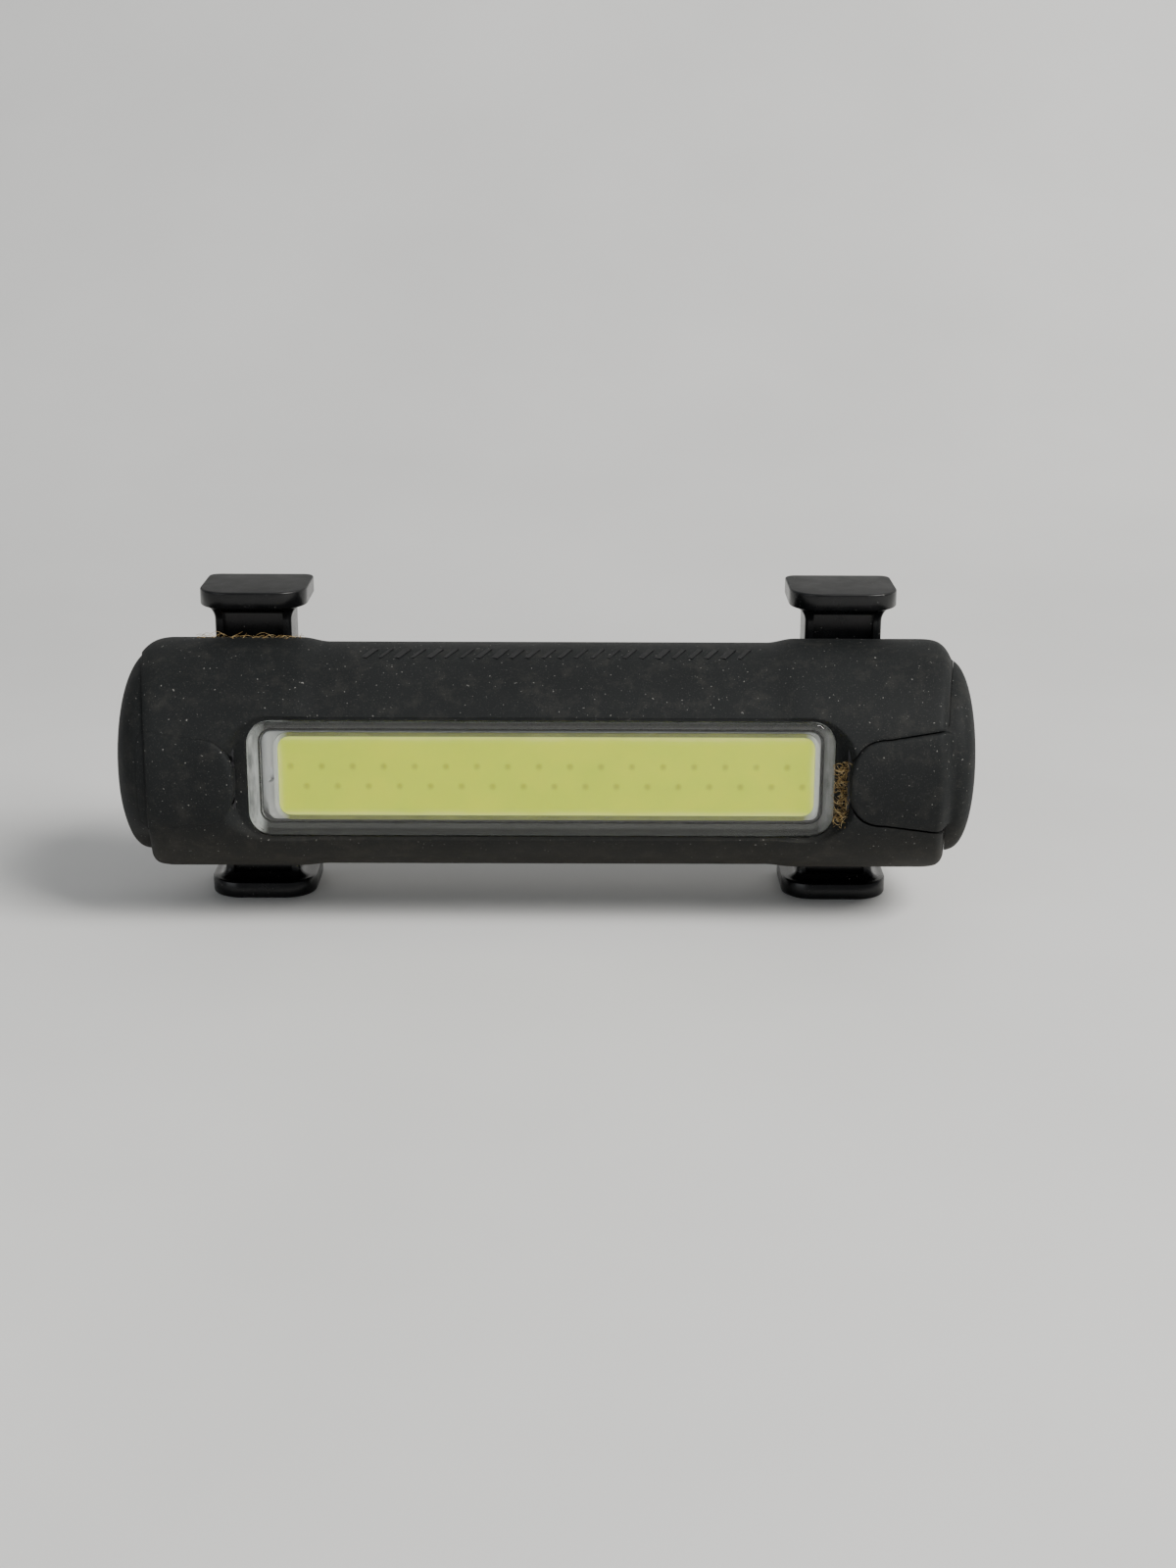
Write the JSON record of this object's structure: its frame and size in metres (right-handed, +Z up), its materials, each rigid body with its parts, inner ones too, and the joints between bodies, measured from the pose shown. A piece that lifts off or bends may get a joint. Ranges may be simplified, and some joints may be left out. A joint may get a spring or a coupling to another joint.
{
  "type": "led light bar",
  "caption": "Tube-shaped strap-on lamp with a long clear lens over a yellow phosphor strip, rubber sleeve, T-shaped strap posts, push pad and hinged end cover.",
  "frame": {"origin": "on the plane of the saddle pads' flat ridges, midway between the lamp's ends, at the height of the tube's axis", "axes": "+X along the tube towards the port cover, +Y out of the back, so the lens faces -Y, +Z up"},
  "size_m": [0.093, 0.0254, 0.0352],
  "materials": {
    "rubber": "matte, dusty",
    "gloss_black": "glossy",
    "inner_plastic": "matte",
    "clear_plastic": "clear plastic",
    "phosphor": "silky yellow",
    "white_silicone": "matte",
    "white_mask": "satin",
    "chip": "glossy",
    "aluminium": "satin",
    "steel": "plated",
    "green_mask": "satin",
    "epoxy_black": "matte",
    "ceramic": "matte",
    "ferrite": "matte",
    "pouch": "foil",
    "grey_pad": "matte",
    "foam": "open foam",
    "red_wire": "satin",
    "black_wire": "satin",
    "lamp_white": "glossy"
  },
  "bodies": {
    "lamp_body": {"rubber_sleeve": "rubber", "front_housing": "inner_plastic", "rear_housing": "inner_plastic", "housing_seal": "grey_pad", "strap_post_upper_left": "gloss_black", "strap_post_upper_right": "gloss_black", "strap_post_lower_left": "gloss_black", "strap_post_lower_right": "gloss_black", "saddle_pad_left": "rubber", "saddle_pad_right": "rubber", "lens": "clear_plastic", "lens_gasket": "grey_pad", "cob_phosphor": "phosphor", "cob_dam": "white_silicone", "led_chips": "chip", "led_board": "white_mask", "thermal_pad": "grey_pad", "heat_spreader": "aluminium", "spreader_screw_1": "steel", "spreader_screw_2": "steel", "spreader_screw_3": "steel", "spreader_screw_4": "steel", "main_board": "green_mask", "driver_ic": "epoxy_black", "charger_ic": "epoxy_black", "power_inductor": "ferrite", "input_capacitor": "ceramic", "output_capacitor": "ceramic", "sense_resistor": "epoxy_black", "charge_resistor": "epoxy_black", "status_led": "lamp_white", "usb_socket": "steel", "usb_tongue": "epoxy_black", "tact_switch": "epoxy_black", "battery_cell": "pouch", "battery_protection_board": "green_mask", "battery_foam": "foam", "battery_lead_red": "red_wire", "battery_lead_black": "black_wire", "led_lead_red": "red_wire", "led_lead_black": "black_wire", "housing_screw_1": "steel", "housing_screw_2": "steel", "housing_screw_3": "steel", "housing_screw_4": "steel"},
    "power_button": {"power_button": "rubber"},
    "switch_plunger": {"switch_plunger": "white_silicone"},
    "port_cover": {"port_cover": "rubber"}
  },
  "joints": [
    {"name": "power_button_press", "type": "slide", "parent": "lamp_body", "child": "power_button", "axis": [0, 1, 0], "range_m": [0, 0.0005], "stiffness_N_per_m": 4000},
    {"name": "switch_plunger_press", "type": "slide", "parent": "lamp_body", "child": "switch_plunger", "axis": [0, 1, 0], "range_m": [0, 0.00025]},
    {"name": "port_cover_hinge", "type": "hinge", "parent": "lamp_body", "child": "port_cover", "pos_m": [0.0462, -0.005, 0], "axis": [0, 0, 1], "range_deg": [0, 110]}
  ],
  "couplings": [
    {"joint": "switch_plunger_press", "follows": "power_button_press", "ratio": 0.5}
  ]
}
